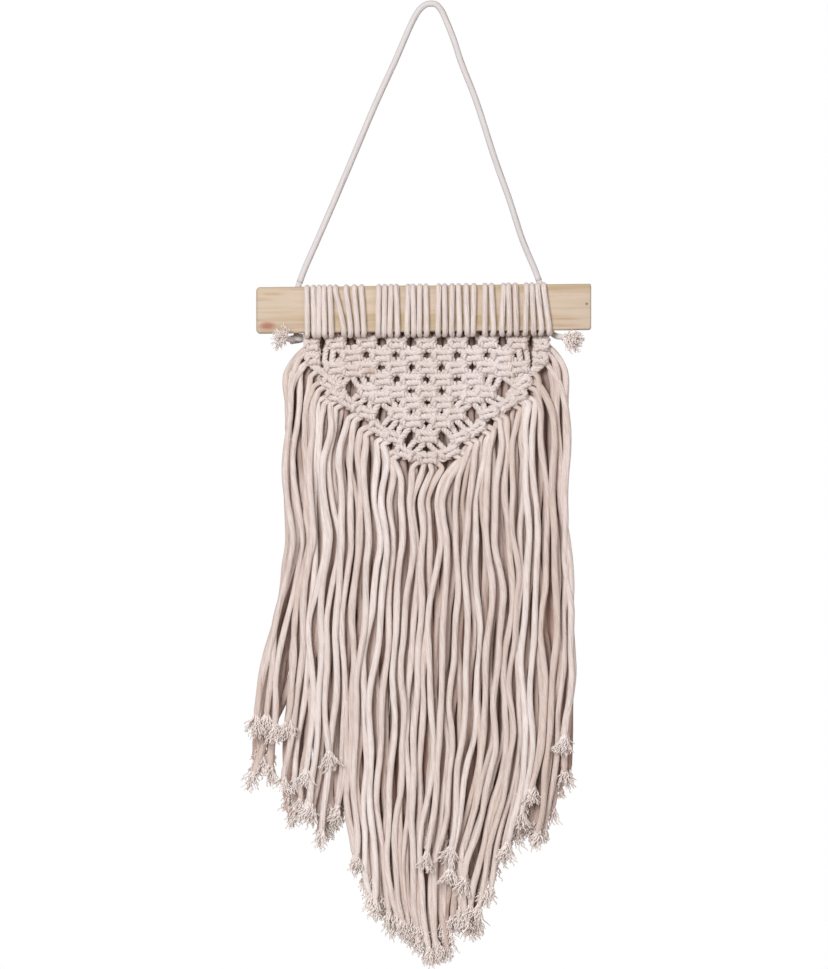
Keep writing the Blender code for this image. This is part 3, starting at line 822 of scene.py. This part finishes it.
def wrap_rows(lane):
    """From under the batten up its front, over its top and down its back."""
    x, slant = WRAPS[lane]
    top_x, low_x = x - slant / 2, x + slant / 2
    front = BATTEN_Y - BATTEN_DEPTH / 2 - WRAP_RADIUS + 0.4
    back = BATTEN_Y + BATTEN_DEPTH / 2 + WRAP_RADIUS
    over = batten_z(x, 1) + WRAP_RADIUS - 2.1
    under = batten_z(x, -1) - WRAP_RADIUS
    return [
        (low_x, front + 1.1, under + 1.0, WRAP_RADIUS),
        (low_x, front + 0.1, under + 4.0, WRAP_RADIUS),
        (x, front, BATTEN_Z, WRAP_RADIUS),
        (top_x, front + 0.1, over - 3.4, WRAP_RADIUS),
        (top_x, front + 1.0, over - 0.9, WRAP_RADIUS),
        (top_x, BATTEN_Y, over, WRAP_RADIUS),
        (top_x, back - 1.0, over - 0.9, WRAP_RADIUS),
        (top_x, back, over - 3.4, WRAP_RADIUS),
        (x, back, BATTEN_Z, WRAP_RADIUS),
        (x + 0.3 * (lane_x(lane) - x), back - 0.2, under + 3.6, WRAP_RADIUS),
    ]


def lane_rows(lane, knots):
    """A cord's way from under the batten to where it leaves its last knot."""
    rows = wrap_rows(lane)
    if lane in (0, 1, LANES - 2, LANES - 1):
        for knot in edge_knots(lane > LANES / 2):
            rows += knot_rows(1 + lane % 2, knot)
    mine = [knot for knot in knots if knot.first <= lane < knot.first + 4]
    for knot in sorted(mine, key=lambda knot: -knot.z):
        if knot.unit == BORDER_UNIT:
            last_z = rows[-1][2]
            beside = [(x, z) for hole_lane, x, z in HOLE_SIDES if hole_lane == lane and z < last_z]
            rows += [(x, PANEL_Y, z, KNOT_RADIUS) for x, z in beside]
        rows += knot_rows(lane - knot.first, knot)
    return rows


def flow_x(table, gaps, gap, z):
    """The x of a gap between strands at height z, read from a table of gaps by height."""
    heights, *columns = zip(*table[::-1])
    return float(np.interp(gap, gaps, [np.interp(z, heights, column) for column in columns]))


def hanging_rows(start, down, x_at, y_at, end_z, aside, radius, rng, sway, slim=1.0):
    """A fringe strand's way from where it leaves its knot down to its end."""
    side_sway = Sway(rng, sway, SIDE_WAVE)
    deep_sway = Sway(rng, DEEP_SWAY, DEEP_WAVE)
    start = np.array(start)
    lead = start + np.array(down) * EXIT_REACH
    rows = [(*start, radius * EXIT_WIDTHS[0]), (*lead, radius * EXIT_WIDTHS[1])]
    levels = [lead[2] - below for below in EXIT_LEVELS]
    free_z = levels[-1] - 10.0
    count = max(3, round((free_z - end_z) / FRINGE_STEP))
    for z in (*levels, *np.linspace(free_z, end_z, count)):
        apart = max(0.0, 1 - (lead[2] - z) / JOIN_HEIGHT) ** 2
        turned = max(0.0, 1 - (z - end_z) / TURN_HEIGHT) ** 2
        x = x_at(z) + side_sway(z) * (1 - apart)
        x += (lead[0] - x) * apart + aside * turned
        deep = y_at(z) + deep_sway(z)
        deep += (lead[1] - deep) * apart
        width = float(np.interp(z, SLIM_LEVELS, (slim, 1.0))) * (1 + 0.04 * side_sway(3 * z))
        rows.append((x, deep, z, radius * width))
    return rows


# Frayed ends


def add_tuft(bundle, rows, rng, yarns, length, spread, tone, droop=0.12, thickness=YARN_RADIUS):
    """Crimped yarns that fan out of a cord's end."""
    end = rows[-1, :3]
    radius = rows[-2, 3]
    axis = rows[-1, :3] - rows[-5, :3]
    axis = axis / np.linalg.norm(axis)
    side = np.cross(axis, [0.0, 1.0, 0.0])
    side /= np.linalg.norm(side)
    front = np.cross(side, axis)
    for _ in range(yarns):
        turn = rng.uniform(0, math.tau)
        out = math.sqrt(rng.random())
        away = math.cos(turn) * side + math.sin(turn) * front * 0.8
        reach = length * rng.uniform(0.5, 1.1)
        splay = spread * out * rng.uniform(0.6, 1.2)
        crimp = rng.uniform(0.35, 0.75)
        pitch = rng.uniform(3.4, 5.5)
        phase = rng.uniform(0, math.tau)
        curl = rng.uniform(-0.22, 0.22)
        count = max(9, round(reach / 0.8))
        t = np.linspace(0, 1, count)[:, None]
        s = t * reach
        grow = np.minimum(1.0, s / 4.0)
        wave = math.tau * s / pitch + phase
        path = (
            end
            - axis * 4.0
            + axis * s * (1 - 0.25 * out * t)
            + away * (out * radius * 0.75 + splay * t**1.4)
            + side * (crimp * grow * np.sin(wave) + curl * reach * t**2)
            + front * crimp * grow * np.cos(wave) * 0.8
        )
        path[:, 2:3] -= droop * s * t
        bundle.tube(np.hstack([path, thickness * (1 - 0.3 * t)]), 3, tone + rng.uniform(-0.25, 0.25))


def tapered(rows):
    """A cord's rows with its last few millimetres drawn in under its frayed yarns."""
    left = np.linalg.norm(rows[:, :3] - rows[-1, :3], axis=1)
    rows = rows.copy()
    rows[:, 3] *= np.interp(left, (0, TAPER_LENGTH), (TAPER_WIDTH, 1.0))
    return rows


# Panel and front fringe


# A front strand: where it leaves its knot and in which direction, its place in strands from the
# left, how far behind FRONT_Y it hangs, its width, how much shorter it is, and whether it is a filler.
Strand = namedtuple("Strand", "start down place depth width shorter filler")


def make_front(cord, hitched, pressed, frayed):
    """The hitches, the knotted panel and the front fringe, cord by cord."""
    rng = random.Random(11)
    hitches, knotted, fringe, tufts = Bundle(), Bundle(), Bundle(), Bundle()
    knots = all_knots()
    lanes = [lane_rows(lane, knots) for lane in range(LANES)]
    for left, right in zip(lanes[::2], lanes[1::2]):
        tone = rng.uniform(0.0, 0.6)
        foot = hitch_foot(left[0][0], right[0][0])
        hitches.tube(smooth([*left[:HITCH_ROWS][::-1], *foot, *right[:HITCH_ROWS]]), CORD_SIDES, tone)
        for down in (left, right):
            knotted.twist(smooth(down[HITCH_ROWS - 1 :], KNOT_STEP, 2), tone)
    exits = draw_edge_chains(rng, knotted)
    for lane, rows in enumerate(lanes):
        exits[lane + 1] = (rows[-1][:3], lane_down(lane))
    for strand in front_strands(rng, exits):
        draw_front_strand(strand, rng, fringe, tufts)
    hitches.build("hitched_cords", hitched, "cotton_knots", "macrame_panel")
    knotted.build("knotted_cords", pressed, "cotton_knots", "macrame_panel")
    fringe.build("front_fringe_cords", cord, "cotton_fringe", "fringe_front")
    tufts.build("front_frayed_ends", frayed, "cotton_fringe", "fringe_front")


def hitch_foot(left, right):
    """How a folded cord passes behind the batten from its left leg's x to its right leg's."""
    turn_z = batten_z(left, -1) + 3.5
    under = batten_z(left, -1) - WRAP_RADIUS
    behind = BATTEN_Y + BATTEN_DEPTH / 2 + 2.6 * WRAP_RADIUS
    return [
        (left - 0.5, BATTEN_Y, under - 0.3, WRAP_RADIUS),
        (left - 0.9, behind - 1.0, turn_z - 3.0, WRAP_RADIUS),
        ((left + right) / 2, behind, turn_z, WRAP_RADIUS),
        (right + 0.9, behind - 1.0, turn_z - 3.0, WRAP_RADIUS),
        (right + 0.5, BATTEN_Y, under - 0.3, WRAP_RADIUS),
    ]


def draw_edge_chains(rng, knotted):
    """The working cords of the two edge chains. Returns where each outer one leaves, by strand."""
    exits = {}
    out, y, z = EDGE_ROOT
    for right, slot in ((False, 0), (True, LAST_SLOT)):
        sign = 1 if right else -1
        for role in (0, 3):
            rows = [(PANEL_X + sign * out, y, z, KNOT_RADIUS)]
            for knot in edge_knots(right):
                rows += knot_rows(role, knot)
            outer = (role == 3) == right
            if outer:
                exits[slot] = (rows[-1][:3], (EDGE_EXIT[0] * sign, 0.0, EDGE_EXIT[1]))
            else:
                rows += tucked_end(*rows[-1])
            knotted.twist(smooth(rows, KNOT_STEP, 2), rng.uniform(0.0, 0.6))
    return exits


def tucked_end(x, y, z, radius):
    """How an edge chain's inner cord goes out of sight behind the panel."""
    return [(x, y + 3.0, z - 5.0, radius), (x + 1.0, y + 5.5, z - 16.0, radius)]


def lane_down(lane):
    """The direction in which a lane's cord leaves the V border, outward and down."""
    from_middle = (lane - (LANES - 1) / 2) / LEAN_LANES
    lean = EXIT_LEAN * max(-1.0, min(1.0, from_middle))
    return (math.sin(lean), 0.0, -math.cos(lean))


def front_place(slot):
    """Where a front strand hangs, in strands from the left. The edge chains' strands take the sides."""
    if slot in (0, LAST_SLOT):
        return float(slot)
    left, right = STRAIGHT_SLOTS
    if slot < left:
        out = left - slot
        return left - (LEFT_SPREAD[0] * out - LEFT_SPREAD[1] * out**2)
    out = max(0, slot - right)
    return slot + RIGHT_SPREAD[0] * out - RIGHT_SPREAD[1] * out**2


def front_strands(rng, exits):
    """The strands out of the knots, the fillers half-way between them, and more at the edges."""
    strands = []
    for slot in range(LAST_SLOT + 1):
        depth = FRONT_LAYERS[slot % len(FRONT_LAYERS)]
        strands.append(Strand(*exits[slot], front_place(slot), depth, rng.uniform(0.92, 1.06), 0.0, False))
    fillers = []
    for slot in FILLER_SLOTS:
        if slot in APEX_GAPS:
            continue
        left, right = strands[slot : slot + 2]
        x = (left.start[0] + right.start[0]) / 2
        z = max(left.start[2], right.start[2]) + 1.0
        start = (x, PANEL_Y + 3.0, z)
        place = (left.place + right.place) / 2
        width, shorter = rng.uniform(0.84, 0.92), rng.uniform(0, 14)
        fillers.append(Strand(start, left.down, place, FILLER_DEPTHS[0], width, shorter, True))
    edges = []
    for place, x, z in EDGE_STRANDS:
        side = 1 if x > 0 else -1
        start, down = (x, PANEL_Y, z), (EDGE_DOWN[0] * side, 0.0, EDGE_DOWN[1])
        edges.append(Strand(start, down, place - 0.5, EDGE_DEPTH, EDGE_WIDTH, EDGE_SHORTER, False))
    return strands + fillers + edges


def front_x(gap, z):
    """The x of a gap between front strands, counted from the left, at height z."""
    return flow_x(FRONT_FLOW, FRONT_GAPS, gap, z)


def draw_front_strand(strand, rng, fringe, tufts):
    """A front strand and its frayed end."""
    place = strand.place
    slot = min(max(round(place), 0), LAST_SLOT)
    end_z, aside = FRONT_ENDS[slot]
    ahead = slot in AHEAD and not strand.filler
    if not ahead:
        aside += rng.uniform(-4.0, 4.0)
    pitch = sum(front_x(place + 1.0, z) - front_x(place, z) for z in PITCH_LEVELS) / len(PITCH_LEVELS)
    top = sunk = returned = strand.depth
    if strand.filler:
        returned = rng.choice(RETURNED_DEPTHS)
        top, sunk = FILLER_DEPTHS
        if pitch > WIDE_PITCH:
            top, sunk = top - WIDE_LESS[0], sunk - WIDE_LESS[1]
        if LONG_FILLERS[0] < place < LONG_FILLERS[1]:
            end_z = min(end_z, LONG_END)

    def x_at(z):
        return front_x(place + 0.5, z)

    end_z = max(end_z, lowest_end(x_at(end_z) + aside)) + strand.shorter

    def y_at(z):
        y = FRONT_Y + float(np.interp(z, SINK_LEVELS, (returned, sunk, sunk, top)))
        if ahead:
            y += (AHEAD_Y - y) * float(np.interp(z, (end_z + 20, end_z + 100), (1, 0)))
        return y

    radius = min(FRINGE_RADIUS, max(LEAST_FRINGE_RADIUS, RADIUS_SHARE * pitch)) * strand.width
    start, down = strand.start, strand.down
    rows = smooth(hanging_rows(start, down, x_at, y_at, end_z, aside, radius, rng, FRONT_SWAY, FRONT_SLIM))
    # fillers get a darker tone than the others: random tone plus painted shade, as they hang behind them
    tone = rng.uniform(0.7, 1.5) if strand.filler else rng.uniform(0.0, 1.0)
    shaded = abs(place - LAST_SLOT / 2) > SHADED_FROM
    fringe.tube(tapered(rows), CORD_SIDES, tone + SHADE * shaded, FRONT_FULLNESS)
    yarns = AHEAD_YARNS if ahead else rng.randint(*FRONT_YARNS)
    spread = AHEAD_SPREAD if ahead else rng.uniform(3.5, 6.0)
    add_tuft(tufts, rows, rng, yarns, rng.uniform(12, 15), spread, 0.5 * tone)


def lowest_end(x):
    """The lowest that a cord may end at x, so that its frayed yarns reach the outline."""
    return max(float(np.interp(x + beside, *zip(*OUTLINE))) for beside in (-3.0, 0.0, 3.0)) + TUFT_REACH


# Back fringe


def make_back(near, far, frayed):
    """The second layer of cords, folded in half over a cord behind the panel, in two rows."""
    rng = random.Random(23)
    tufts = Bundle()
    make_back_row("back_fringe_cords", near, BACK_NEAR, rng, tufts)
    make_back_row("back_fringe_rear_cords", far, BACK_FAR, rng, tufts)
    tufts.build("back_frayed_ends", frayed, "cotton_fringe", "fringe_back")


def make_back_row(name, material, row, rng, tufts):
    """A row's folded cords, the cord that carries them, and their frayed ends among the tufts."""
    fringe = Bundle()
    ways = []
    for k in range(row.strands):
        way = back_way(row, k, rng)
        # random tone plus painted shade: the back rows reach darker than the front
        tone = rng.uniform(0.2, row.darkest)
        spread = rng.uniform(3.5, 6.5)
        yarns = rng.randint(*BACK_YARNS)
        add_tuft(tufts, smooth(way), rng, yarns, rng.uniform(11, 16), spread, 0.5 * tone)
        ways.append((way, tone))
    deep = row.y + BEHIND_PANEL
    for (left, tone), (right, _) in zip(ways[::2], ways[1::2]):
        rows = smooth([*left[::-1], *carrier_bight(left[0], right[0], deep), *right])
        fringe.tube(tapered(tapered(rows)[::-1])[::-1], BACK_SIDES, tone)
    carrier = [(x, PANEL_Y + share * (deep - PANEL_Y), CARRIER_Z, CARRIER_RADIUS) for x, share in CARRIER_WAY]
    fringe.tube(smooth(carrier), BACK_SIDES, 0.8)
    fringe.build(name, material, "cotton_fringe", "fringe_back")


def back_way(row, k, rng):
    """The way of a back row's strand k, from its fold down to its end."""
    share = (k + 0.5) / row.strands
    aside = float(np.interp(share, *zip(*BACK_ASIDE)))

    def x_at(z):
        return flow_x(BACK_FLOW, (0, 1), share, z)

    end_z = -560.0
    for _ in range(5):
        end_z = lowest_end(x_at(end_z) + aside)
    end_z += rng.uniform(0, row.raised)
    if row.stray and k == row.stray[0]:
        _, aside, end_z = row.stray
    shift = rng.uniform(-0.7, 0.7)

    def y_at(z):
        return row.y + shift + BEHIND_PANEL * float(np.interp(z, BEHIND_LEVELS, (0, 1)))

    start = (x_at(CARRIER_Z), row.y + BEHIND_PANEL - 0.5, CARRIER_Z - 1.0)
    aside += rng.uniform(-1, 1) * row.sway
    radius = row.radius * rng.uniform(0.96, 1.1)
    return hanging_rows(start, (0, 0, -1), x_at, y_at, end_z, aside, radius, rng, row.sway)


def carrier_bight(left, right, deep):
    """The fold of a back cord over the hidden cord that carries it."""
    radius = left[3]
    over = CARRIER_Z + CARRIER_RADIUS + radius - 0.8
    middle = (left[0] + right[0]) / 2
    return [
        (left[0] + 0.5, deep - 2.0, over - 1.4, radius),
        (middle - 0.9, deep, over, radius),
        (middle, deep + 2.6, over - 2.6, radius),
        (middle + 0.9, deep, over, radius),
        (right[0] - 0.5, deep - 2.0, over - 1.4, radius),
    ]


# Hanging cord and batten


def make_hanger(material):
    """The hanging cord, drawn as one tube from one end to the other."""
    rows = smooth([(x, y, z, HANGER_RADIUS) for x, y, z in HANGER_ROUTE], HANGER_STEP)
    bundle = Bundle()
    bundle.tube(rows, HANGER_SIDES, 0.1)
    piece = bundle.build("hanging_cord", material, "cotton_hanger", "hanger_cord")


def make_ties(material, frayed):
    """The hanging cord's two ends: down behind the batten, and frayed below it."""
    rng = random.Random(5)
    for name, node, route, yarns, length, spread in (
        ("left_tie", "hanger_tie_left", LEFT_TIE_ROUTE, 110, 10.0, 8.0),
        ("right_tie", "hanger_tie_right", RIGHT_TIE_ROUTE, 120, 17.0, 7.5),
    ):
        cord, tuft = Bundle(), Bundle()
        rows = smooth([(x, y, z, TIE_RADIUS) for x, y, z in route])
        cord.tube(tapered(rows), CORD_SIDES, 0.2)
        if node == "hanger_tie_left":
            cord.tube(smooth(left_knot_rows(), 1.5), 8, 0.3)
        add_tuft(tuft, rows, rng, yarns, length, spread, 0.1, 0.1, 0.5)
        cord.build(name + "_cord", material, "cotton_hanger", node)
        tuft.build(name + "_frayed_end", frayed, "cotton_hanger", node)


def left_knot_rows():
    """The turns of cord around the left tie that make its knot."""
    x, y, z = LEFT_KNOT_AT
    wide, deep = LEFT_KNOT_RADII
    rows = []
    for turn in np.linspace(0, LEFT_KNOT_TURNS * math.tau, 26):
        height = z + 2.0 - LEFT_KNOT_DROP * turn / math.tau
        rows.append((x + wide * math.cos(turn), y + deep * math.sin(turn), height, LEFT_KNOT_CORD))
    return rows


def batten_stations():
    """Places along the batten, left to right, and how far its faces are drawn in there."""
    half = BATTEN_LENGTH / 2
    turns = [math.pi / 2 * k / BATTEN_END_STEPS for k in range(BATTEN_END_STEPS + 1)]
    bend = [(1 - math.cos(turn), 1 - math.sin(turn)) for turn in turns]
    left = [(-(half - LEFT_WEAR * along), LEFT_WEAR * inset) for along, inset in bend]
    middle = [(x, 0.0) for x in np.linspace(-half + BATTEN_END, half - BATTEN_END, BATTEN_STEPS)]
    right = [(half - RIGHT_WEAR * along, RIGHT_WEAR * inset) for along, inset in bend]
    return left + middle + right[::-1]


def batten_ring(x, inset, swell):
    """The batten's section at x, with its four edges rounded."""
    depth = BATTEN_DEPTH / 2 - inset - BATTEN_EDGE
    height = BATTEN_HEIGHT / 2 - inset + swell - BATTEN_EDGE
    rise = x * BATTEN_SLOPE + BATTEN_Z
    points = []
    for quarter in range(4):
        toward = math.pi / 2 * (quarter + 0.5)
        for k in range(BATTEN_EDGE_POINTS):
            turn = math.pi / 2 * (quarter + k / (BATTEN_EDGE_POINTS - 1))
            y = math.copysign(depth, math.cos(toward)) + BATTEN_EDGE * math.cos(turn)
            z = math.copysign(height, math.sin(toward)) + BATTEN_EDGE * math.sin(turn)
            points.append(((x + BATTEN_X) * MM, (y + BATTEN_Y) * MM, (z + rise) * MM))
    return points


def make_batten(material):
    """A sawn stick with softened edges. Its left end is more worn than its right."""
    swell = Sway(random.Random(3), *BATTEN_SWELL)
    rings = [batten_ring(x, inset, swell(x)) for x, inset in batten_stations()]
    around = len(rings[0])
    faces = []
    for k in range(len(rings) - 1):
        for c in range(around):
            a, b = k * around + c, k * around + (c + 1) % around
            faces.append((a, a + around, b + around, b))
    faces.append(tuple(range(around)))
    faces.append(tuple(range((len(rings) - 1) * around, len(rings) * around))[::-1])
    mesh = bpy.data.meshes.new("batten_wood")
    mesh.from_pydata(sum(rings, []), [], faces)
    mesh.shade_smooth()
    mesh.set_sharp_from_angle(angle=math.radians(50))
    add_piece("batten_wood", mesh, material, "batten")


make_camera()
make_studio()
cord_cotton = cotton("cotton_cord", CORD_COLORS)
hitched_cotton = cotton("cotton_hitched", HITCHED_COLORS)
pressed_cotton = cotton("cotton_pressed", PRESSED_COLORS, 0.3)
add_stain(pressed_cotton)
# these two back cord materials carry painted shade on their forward side
near_cotton = cotton("cotton_near", CORD_COLORS, 1.0, NEAR_PAINTED_SHADE)
far_cotton = cotton("cotton_far", CORD_COLORS, 1.0, FAR_PAINTED_SHADE)
frayed_cotton = cotton("cotton_frayed", FRAYED_COLORS, 0.0)
hanging_cotton = cotton("cotton_hanging", HANGING_COLORS, 0.5)
make_hanger(hanging_cotton)
make_ties(hanging_cotton, frayed_cotton)
make_batten(pine("pine_batten"))
make_front(cord_cotton, hitched_cotton, pressed_cotton, frayed_cotton)
make_back(near_cotton, far_cotton, frayed_cotton)
